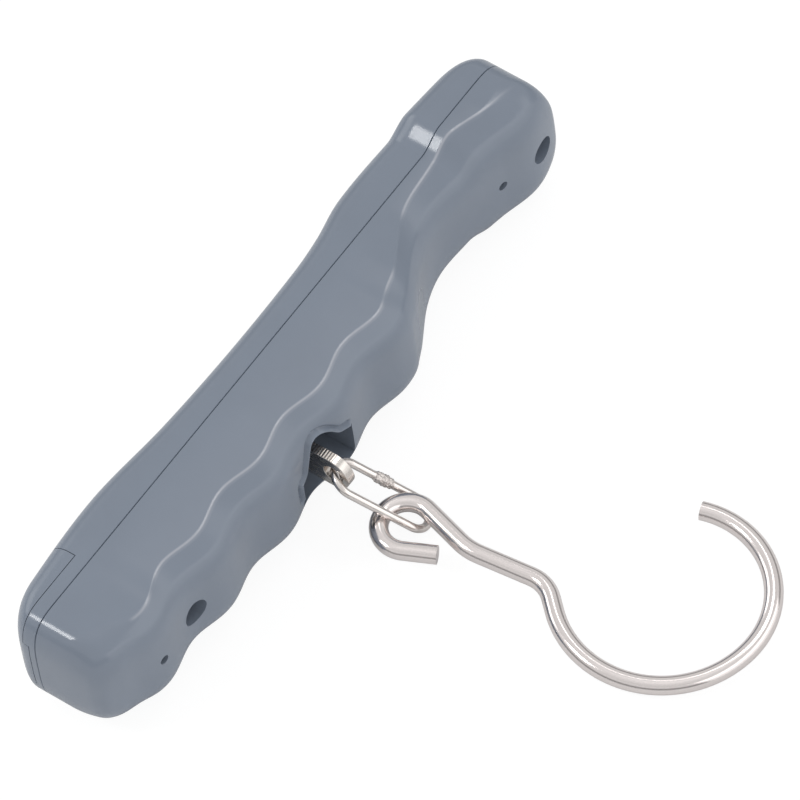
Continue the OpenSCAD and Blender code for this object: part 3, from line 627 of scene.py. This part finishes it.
def top_at(x):
    return float(top_y(np.array([x]))[0])


def top_rings():
    """The top shell's rings: from its top's edge down the outside, then up along the inside."""
    rings = [edge_ring(a, 0) for a in np.linspace(90, 0, EDGE_STEPS)] + seam_rings(1)
    rings += [level_ring(0, WALL / 2 - FIT), level_ring(TONGUE_H + FIT, WALL / 2 - FIT),
              level_ring(TONGUE_H + FIT, WALL)]
    return rings + [edge_ring(a, WALL) for a in (0, 22, 45, 68, 90)]


def door_zone(grow):
    """What the door takes of the top shell: all above its sill, and its tab below that."""
    return (box(LEFT - 5, DOOR_EDGE + grow, DOOR_SILL - grow, ABOVE, -BODY_W, BODY_W),
            box(LEFT - 5, LEFT + WALL * 0.55 + grow, TONGUE_H + FIT + 0.15 - grow, DOOR_SILL,
                -TAB_W / 2 - grow, TAB_W / 2 + grow))


sill_zone, tab_zone = door_zone(0)
battery_door = loft("door_shell", top_rings())
boolean(battery_door, [sill_zone], "INTERSECT")
tab = loft("tab", top_rings())
boolean(tab, [tab_zone], "INTERSECT")
latch_y = top_at(DOOR_EDGE) - WALL - LATCH_T - 0.1
latch = joined([box(DOOR_EDGE - 3, DOOR_EDGE + 2, latch_y, latch_y + LATCH_T,
                    -LATCH_W / 2, LATCH_W / 2),
                box(DOOR_EDGE - 3, DOOR_EDGE - 0.5, latch_y + 0.01,
                    latch_y + LATCH_T + 0.6 * WALL, -LATCH_W / 2 + 0.01, LATCH_W / 2 - 0.01)])
absorb(battery_door, tab)
absorb(battery_door, piece("latch", *latch))
finish_piece(battery_door, shell, "battery_door", "battery_door")

top_cover = loft("top_cover", top_rings())
for zone in door_zone(DOOR_GAP):
    boolean(top_cover, [zone], "DIFFERENCE")
board_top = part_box("circuit_board")[1].y / MM
screw_lo, screw_hi = corners("board_screws")
button_x = sum(corner.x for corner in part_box("power_button")) / 2 / MM
button_z = sum(corner.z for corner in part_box("unit_button")) / 2 / MM - MID_Z
board_screws = [(HALF - 17.7, 0), (HALF - 7.8, screw_hi.z - 1.8 - MID_Z),
                (HALF - 7.8, screw_lo.z + 1.8 - MID_Z)]
window_x = (window_lo.x + window_hi.x) / 2
window_l, window_w = window_hi.x - window_lo.x, window_hi.z - window_lo.z


def rounded_box(length, width, r, y0, y1, x=0.0, steps=8):
    outline = []
    for sx, sz, turned in ((1, 1, 0), (-1, 1, 90), (-1, -1, 180), (1, -1, 270)):
        for k in range(steps + 1):
            a = math.radians(turned + 90 * k / steps)
            outline.append((x + sx * (length / 2 - r) + r * math.cos(a),
                            sz * (width / 2 - r) + r * math.sin(a)))
    return prism(outline, y0, y1)


boolean(top_cover,
        [cylinder(TOP_BOSS_D, BOSS_MEET, top_at(x) - WALL / 2, x, 0) for x in CASE_SCREW_X]
        + [cylinder(BOARD_BOSS_D, board_top, top_at(x) - WALL / 2, x, z, 32)
           for x, z in board_screws], "UNION")
boolean(top_cover,
        [rounded_box(window_l + 2 * FIT, window_w + 2 * FIT, WINDOW_R + FIT, window_lo.y, ABOVE,
                     window_x)]
        + [cylinder(BUTTON_HOLE_D, 4, ABOVE, button_x, s * button_z) for s in (-1, 1)]
        + [cylinder(SCREW_D + 0.1, BOSS_MEET - 1, SCREW_TIP + 0.4, x, 0, 32)
           for x in CASE_SCREW_X], "DIFFERENCE")
boolean(top_cover, [box(window_x - window_l / 2 + WINDOW_LEDGE,
                        window_x + window_l / 2 - WINDOW_LEDGE, 3, ABOVE - 1,
                        -window_w / 2 + WINDOW_LEDGE, window_w / 2 - WINDOW_LEDGE)], "DIFFERENCE")
finish_piece(top_cover, shell, "top_shell", "handle")


# ---- Wires: link and hook ------------------------------------------------------------------------

def turn(axis, degrees):
    return Matrix.Rotation(math.radians(degrees), 4, axis)


def tube(name, path, radii, place, steps, closed=False):
    """A round bar along a path in the XY plane, moved to its place, with a UV map along it."""
    n = len(path)
    up = np.array([0, 0, 1.0])
    points, uv_of = [], []
    length = np.concatenate([[0], np.cumsum(np.linalg.norm(np.diff(path, axis=0), axis=1))])
    for i in range(n):
        before, after = (path[i - 1], path[(i + 1) % n]) if closed else (
            path[max(i - 1, 0)], path[min(i + 1, n - 1)])
        forward = (after - before) / np.linalg.norm(after - before)
        out = np.cross(forward, up)
        for k in range(steps):
            a = 2 * math.pi * k / steps
            points.append(path[i] + radii[i] * (math.cos(a) * out + math.sin(a) * up))
            uv_of.append((length[i], k / steps))
    faces = []
    for i in range(n if closed else n - 1):
        j = (i + 1) % n
        for k in range(steps):
            m = (k + 1) % steps
            faces.append((i * steps + k, i * steps + m, j * steps + m, j * steps + k))
    if not closed:
        faces += [tuple(range(steps)), tuple((n - 1) * steps + k for k in range(steps))]
    obj = piece(name, [place @ Vector(p) for p in points], faces)
    layer = obj.data.uv_layers.new(name="UVMap")
    for corner in obj.data.loops:
        layer.data[corner.index].uv = uv_of[corner.vertex_index]
    return obj


LINK_WIRE, LINK_W, LINK_LEN = 1.6, 7.3, 21.2
LINK_TURN, LINK_ROLL = 24.9, 10.2
LINK_DROP = math.degrees(math.asin((BODY_W / 2 + LINK_WIRE / 2) / LINK_LEN))
EYE_DEPTH = 20.9                        # of the plate's hole, which the link hangs in
LEG_STEPS, BEND_STEPS = 24, 40
link_at = Vector((HANGER_X - 0.2, -EYE_DEPTH + 0.2, 0.1))
place_link = (Matrix.Translation(link_at) @ turn("Z", LINK_TURN) @ turn("X", LINK_DROP)
              @ turn("Y", LINK_ROLL))
link_r = LINK_W / 2
straight = LINK_LEN - LINK_W
legs = np.linspace(0, 1, LEG_STEPS, endpoint=False)
bends = np.linspace(0, math.pi, BEND_STEPS, endpoint=False)
link_path = np.concatenate([
    np.stack([link_r * np.cos(bends), link_r * np.sin(bends) - link_r, 0 * bends], 1),
    np.stack([np.full(LEG_STEPS, -link_r), -link_r - straight * legs, 0 * legs], 1),
    np.stack([-link_r * np.cos(bends), -link_r * np.sin(bends) + link_r - LINK_LEN, 0 * bends],
             1),
    np.stack([np.full(LEG_STEPS, link_r), link_r - LINK_LEN + straight * legs, 0 * legs], 1)])
oval_link = tube("oval_link_wire", link_path, np.full(len(link_path), LINK_WIRE / 2),
                 place_link, 32, closed=True)
finish_piece(oval_link, link_nickel, "oval_link", "link")

BEAD_STEPS, BEAD_END = 60, 1.1
BEAD_SUNK, BEAD_H = 0.12, 0.42          # depth of its ends in the wire, and its rise from there
LUMPS = (0.00018, 1100), (0.0002, 3000)     # height in metres, and scale of the noise
weld_y = -LINK_LEN * 0.45
bead_from, bead_to = weld_y - 1.3 * LINK_WIRE - BEAD_END, weld_y + BEAD_END
t = np.linspace(-1, 1, BEAD_STEPS)
bead_path = np.stack([np.full(BEAD_STEPS, link_r), np.linspace(bead_to, bead_from, BEAD_STEPS),
                      np.zeros(BEAD_STEPS)], 1)
bead_r = LINK_WIRE / 2 - BEAD_SUNK + BEAD_H * np.clip(1 - t ** 2, 0, 1) ** 0.6
weld = tube("weld_bead", bead_path, bead_r, place_link, 48)
with editing(weld.data) as bm:
    bm.normal_update()
    for v in bm.verts:
        if len(v.link_faces) > 3:       # not at the flat ends, which are inside the wire
            v.co += v.normal * sum(high * noise.noise(v.co * fine) for high, fine in LUMPS)
weld.data.materials.append(weld_metal)
soften(weld, 60)
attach(weld, "link")

HOOK_WIRE, BEND_R, HOOK_EYE_R = 3.6, 20.5, 5.15
# The wire's run from the end at its eye: (length, 0) is straight, (radius, degrees) is a bend
HOOK_RUN = [(6.6, 0), (HOOK_EYE_R, -220), (8.9, 0), (12, 22), (10.7, 0), (7, -49.8), (2.9, 0),
            (BEND_R, 125.8), (BEND_R - 2.4, 115.2)]
TAIL_HEADING = 99.2
END_EDGE = 0.35                         # rounding of the wire's two cut ends
link_end = place_link @ Vector((0, -LINK_LEN, 0))
hook_eye = link_end + Vector((-5.16, 0.87, 3.86))
place_hook = Matrix.Translation(hook_eye) @ turn("X", 2.58) @ turn("Y", -1.15) @ turn("Z", 16.4)


def ahead(heading):
    return np.array([math.cos(math.radians(heading)), math.sin(math.radians(heading)), 0])


def run_path(run, start, heading, step):
    """Points every step millimetres or so along straight lengths and bends of the wire."""
    path, p, h = [start], start, heading
    for size, bend in run:
        if bend == 0:
            count = max(2, int(size / step))
            path += [p + ahead(h) * size * (k + 1) / count for k in range(count)]
        else:
            sign = 1 if bend > 0 else -1
            centre = p + sign * size * ahead(h + 90)
            count = max(6, int(abs(math.radians(bend)) * size / step))
            path += [centre - sign * size * ahead(h + bend * (k + 1) / count + 90)
                     for k in range(count)]
            h += bend
        p = path[-1]
    return np.array(path)


def rounded_ends(path, radius, edge):
    """The path with a few rings added at each end, and radii that round the ends' edges."""
    first, last = path[1] - path[0], path[-1] - path[-2]
    first, last = first / np.linalg.norm(first), last / np.linalg.norm(last)
    angles = np.radians([0, 25, 50, 70, 90])
    head = [path[0] + first * edge * (1 - math.cos(math.pi / 2 - a)) for a in angles]
    tail = [path[-1] - last * edge * (1 - math.cos(math.pi / 2 - a)) for a in angles[::-1]]
    radii = [radius - edge * (1 - math.sin(a)) for a in angles]
    keep = path[2:-2]
    return (np.concatenate([head, keep, tail]),
            np.array(radii + [radius] * len(keep) + radii[::-1]))


wire_from = -HOOK_EYE_R * ahead(TAIL_HEADING - 90) - HOOK_RUN[0][0] * ahead(TAIL_HEADING)
wire_path = run_path(HOOK_RUN, wire_from, TAIL_HEADING, 0.5)
hook = tube("hook_wire", *rounded_ends(wire_path, HOOK_WIRE / 2, END_EDGE), place_hook, 48)
finish_piece(hook, nickel, "hook", "hook")


# ---- Hanger plate -------------------------------------------------------------------------------

EYE_D, EYE_STEPS = 4.2, 48
PLATE_W, NECK_W, NECK_TOP = plate_hi.z - plate_lo.z, 8.2, 11.7
BEAM_W, BEAM_H = 10.0, 8.0
SEAT_TOP, WINDOW_GAP, BEAM_PLAY = -0.6, 2.0, 0.3
CORNER_R, TOP_CORNER_R = 0.6, 0.8
RIM_ANGLE = 1.2                         # in radians; the faces at the sheet's rims turn by more


def arc(cx, cy, radius, a0, a1, steps=5):
    return [(cx + radius * math.cos(math.radians(a0 + (a1 - a0) * k / steps)),
             cy + radius * math.sin(math.radians(a0 + (a1 - a0) * k / steps)))
            for k in range(steps + 1)]


def plate_outline():
    """Outline in (z, y), counter-clockwise from the tip."""
    w, n, foot, top = PLATE_W / 2, NECK_W / 2, -NECK_TOP, plate_hi.y
    return (arc(0, plate_lo.y + n, n, -180, 0, 40)
            + [(n, foot - CORNER_R)]
            + arc(n + CORNER_R, foot - CORNER_R, CORNER_R, 180, 90)
            + arc(w - CORNER_R, foot + CORNER_R, CORNER_R, -90, 0)
            + arc(w - TOP_CORNER_R, top - TOP_CORNER_R, TOP_CORNER_R, 0, 90)
            + arc(-w + TOP_CORNER_R, top - TOP_CORNER_R, TOP_CORNER_R, 90, 180)
            + arc(-w + CORNER_R, foot + CORNER_R, CORNER_R, 180, 270)
            + arc(-n - CORNER_R, foot - CORNER_R, CORNER_R, 90, 0))


def plate_mesh():
    """The stirrup with its window and hole, as a bevelled sheet."""
    bm = bmesh.new()
    beside, under = BEAM_W / 2 + BEAM_PLAY, -BEAM_H - WINDOW_GAP
    loops = [plate_outline(),
             [(-beside, under), (beside, under), (beside, SEAT_TOP), (-beside, SEAT_TOP)],
             arc(0, -EYE_DEPTH, EYE_D / 2, 0, 360 - 360 / EYE_STEPS, EYE_STEPS - 1)]
    edges = []
    for outline in loops:
        verts = [bm.verts.new((plate_lo.x, y, z)) for z, y in outline]
        edges += [bm.edges.new((verts[i], verts[(i + 1) % len(verts)])) for i in range(len(verts))]
    bmesh.ops.triangle_fill(bm, use_beauty=True, use_dissolve=True, edges=edges)
    out = bmesh.ops.extrude_face_region(bm, geom=list(bm.faces))
    moved = [v for v in out["geom"] if isinstance(v, bmesh.types.BMVert)]
    bmesh.ops.translate(bm, vec=(plate_hi.x - plate_lo.x, 0, 0), verts=moved)
    bmesh.ops.recalc_face_normals(bm, faces=bm.faces)
    rims = [e for e in bm.edges if len(e.link_faces) == 2 and e.calc_face_angle(0) > RIM_ANGLE]
    bmesh.ops.bevel(bm, geom=rims, offset=0.16, segments=3, profile=0.6, affect="EDGES",
                    clamp_overlap=True)
    bm.verts.ensure_lookup_table()
    points = [tuple(v.co) for v in bm.verts]
    faces = [tuple(v.index for v in f.verts) for f in bm.faces]
    bm.free()
    return points, faces


finish_piece(piece("stirrup_plate", *plate_mesh()), plate_steel, "hanger_plate", "handle")


# ---- Floor, light and camera -------------------------------------------------------------------

FLOOR_W = 3                             # half of it, in metres
floor_z = (shell_lo.z - 0.05) * MM
floor_mesh = bpy.data.meshes.new("floor")
floor_mesh.from_pydata([(x * FLOOR_W, y * FLOOR_W, floor_z) for x, y in
                        ((-1, -1), (1, -1), (1, 1), (-1, 1))], [], [(0, 1, 2, 3)])
put("floor", floor_mesh)
# The camera sees a near white floor, while the object is lit by a plain pale one
pale = bpy.data.materials.new("pale_floor")
pale.use_nodes = True
pale.node_tree.nodes.clear()
output = add(pale, "OutputMaterial")
rays = add(pale, "LightPath")
pick = add(pale, "MixShader")
plain = add(pale, "BsdfDiffuse", Color=(0.82, 0.82, 0.82, 1))
dim = add(pale, "BsdfDiffuse", Color=(0.16, 0.16, 0.16, 1))
glow = add(pale, "Emission", Color=(1, 1, 1, 1), Strength=0.9)
both = add(pale, "AddShader")
wire_up(pale, (dim, 0, both, 0), (glow, 0, both, 1), (rays, "Is Camera Ray", pick, 0),
        (plain, 0, pick, 1), (both, 0, pick, 2), (pick, 0, output, "Surface"))
floor_mesh.materials.append(pale)

RIGHT = Vector((0.578, -0.810, -0.090))
BACK = Vector((-0.399, -0.379, 0.835)).normalized()
UP = BACK.cross(RIGHT).normalized()
RIGHT = UP.cross(BACK).normalized()
TARGET = Vector((10.2, -20.1, -3.95 + MID_Z)) * MM
DISTANCE, FIELD = 2.0, 146.8 * MM
SENSOR = 36
camera_data = bpy.data.cameras.new("camera")
camera_data.sensor_width = SENSOR
camera_data.lens = SENSOR * DISTANCE / FIELD
camera = put("camera", camera_data)
turned = Matrix((RIGHT, UP, BACK)).transposed().to_4x4()
camera.matrix_world = Matrix.Translation(TARGET + BACK * DISTANCE) @ turned
bpy.context.scene.camera = camera


def softbox(name, direction, distance, size, power):
    """An area light that faces the object from a direction given in the camera's axes."""
    d = (RIGHT * direction[0] + UP * direction[1] + BACK * direction[2]).normalized()
    data = bpy.data.lights.new(name, "AREA")
    data.shape, data.size, data.size_y = "RECTANGLE", size[0], size[1]
    data.energy = power
    light = put(name, data)
    light.location = TARGET + d * distance
    light.rotation_euler = d.to_track_quat("Z", "Y").to_euler()


softbox("key", (-0.9, 0.6, 0.1), 0.7, (0.5, 0.35), 0.7)
softbox("fill", (0.9, -0.05, 0.65), 1.4, (2.2, 1.2), 6.4)
softbox("crease", (0.17, 0.77, 0.61), 0.8, (0.35, 0.12), 0.4)
softbox("left", (-0.69, 0.22, 0.69), 0.8, (0.16, 0.15), 0.95)

# An even sky; what gloss and metal mirror of it is darker low down, which shows their form
world = bpy.data.worlds.new("studio")
bpy.context.scene.world = world
world.use_nodes = True
even_sky = world.node_tree.nodes["Background"]
even_sky.inputs["Color"].default_value = (1, 1, 1, 1)
even_sky.inputs["Strength"].default_value = 0.65
sky_rays = add(world, "LightPath")
direction = add(world, "TexCoord")
axes = add(world, "SeparateXYZ")
studio = add(world, "ValToRGB")
for at, level in ((0.0, 0.3), (0.3, 0.36), (0.42, 0.8), (0.75, 0.72), (0.95, 0.85)):
    stop = studio.color_ramp.elements.new(at)
    stop.color = (level, level, level, 1)
mirrored_sky = add(world, "Background")
choose = add(world, "MixShader")
wire_up(world, (direction, "Generated", axes, 0), (axes, "Z", studio, "Fac"),
        (studio, "Color", mirrored_sky, "Color"), (sky_rays, "Is Glossy Ray", choose, 0),
        (even_sky, 0, choose, 1), (mirrored_sky, 0, choose, 2),
        (choose, 0, world.node_tree.nodes["World Output"], "Surface"))
bpy.context.scene.view_settings.view_transform = "Standard"
